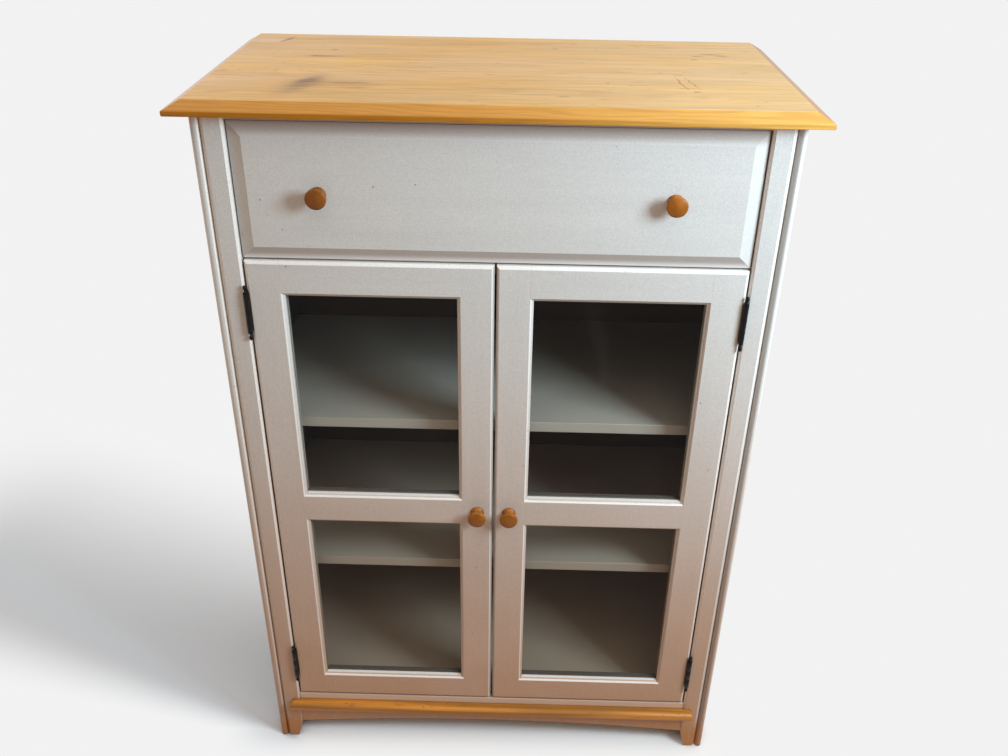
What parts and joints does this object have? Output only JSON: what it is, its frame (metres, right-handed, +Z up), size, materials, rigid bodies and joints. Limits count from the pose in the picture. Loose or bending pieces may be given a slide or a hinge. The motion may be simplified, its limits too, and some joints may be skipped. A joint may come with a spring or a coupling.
{
  "type": "glazed storage cupboard with drawer",
  "caption": "Floor-standing pine cupboard: bevelled lacquered top, one wide drawer, a pair of glazed hinged doors over shelves, arched apron and tapered feet.",
  "frame": {"origin": "floor level, middle of the plan", "axes": "+Z up, +Y to the back, +X to the right seen from the front"},
  "size_m": [0.85, 0.452, 1.204],
  "materials": {
    "lacquered_pine": "clear-lacquered pine",
    "turned_knob_wood": "turned and clear-lacquered",
    "painted_pine": "white satin paint over pine",
    "painted_shelf_board": "white melamine board",
    "bare_pine": "planed, unfinished",
    "hardboard": "smooth-faced hardboard",
    "clear_glass": "clear float glass",
    "dark_bronze_hardware": "dark bronze lacquered steel",
    "zinc_plated_steel": "bright zinc plate",
    "white_plastic": "moulded"
  },
  "bodies": {
    "carcass": {"back_panel": "hardboard", "base_moulding": "lacquered_pine", "bottom_board": "painted_shelf_board", "divider_rail": "bare_pine", "drawer_kickers": "bare_pine", "drawer_runner_left": "bare_pine", "drawer_runner_right": "bare_pine", "frame_hinge_leaves": "dark_bronze_hardware", "front_bottom_rail": "painted_pine", "front_stile_left": "painted_pine", "front_stile_right": "painted_pine", "front_top_rail": "painted_pine", "hinge_pins": "dark_bronze_hardware", "lower_shelf": "painted_shelf_board", "magnetic_catches": "white_plastic", "rear_bottom_rail": "bare_pine", "rear_top_rail": "bare_pine", "shelf_battens": "bare_pine", "side_bottom_rail_left": "painted_pine", "side_bottom_rail_right": "painted_pine", "side_front_leg_left": "painted_pine", "side_front_leg_right": "painted_pine", "side_panel_left": "painted_pine", "side_panel_right": "painted_pine", "side_rear_leg_left": "painted_pine", "side_rear_leg_right": "painted_pine", "side_top_rail_left": "painted_pine", "side_top_rail_right": "painted_pine", "top_board": "lacquered_pine", "upper_shelf": "painted_shelf_board"},
    "drawer": {"drawer_back": "bare_pine", "drawer_bottom": "hardboard", "drawer_front": "painted_pine", "drawer_knob_screws": "zinc_plated_steel", "drawer_knobs": "turned_knob_wood", "drawer_side_left": "bare_pine", "drawer_side_right": "bare_pine"},
    "left_door": {"left_door_bottom_rail": "painted_pine", "left_door_fittings": "zinc_plated_steel", "left_door_glass_beads": "painted_pine", "left_door_hinge_leaves": "dark_bronze_hardware", "left_door_hinge_stile": "painted_pine", "left_door_knob": "turned_knob_wood", "left_door_lock_stile": "painted_pine", "left_door_lower_glass": "clear_glass", "left_door_mid_rail": "painted_pine", "left_door_top_rail": "painted_pine", "left_door_upper_glass": "clear_glass"},
    "right_door": {"right_door_bottom_rail": "painted_pine", "right_door_fittings": "zinc_plated_steel", "right_door_glass_beads": "painted_pine", "right_door_hinge_leaves": "dark_bronze_hardware", "right_door_hinge_stile": "painted_pine", "right_door_knob": "turned_knob_wood", "right_door_lock_stile": "painted_pine", "right_door_lower_glass": "clear_glass", "right_door_mid_rail": "painted_pine", "right_door_top_rail": "painted_pine", "right_door_upper_glass": "clear_glass"}
  },
  "joints": [
    {"name": "drawer_slide", "type": "slide", "parent": "carcass", "child": "drawer", "axis": [0, -1, 0], "range_m": [0, 0.28]},
    {"name": "left_door_hinge", "type": "hinge", "parent": "carcass", "child": "left_door", "pos_m": [-0.3538, -0.2047, 0.5485], "axis": [0, 0, -1], "range_deg": [0, 170]},
    {"name": "right_door_hinge", "type": "hinge", "parent": "carcass", "child": "right_door", "pos_m": [0.3538, -0.2047, 0.5485], "axis": [0, 0, 1], "range_deg": [0, 170]}
  ]
}
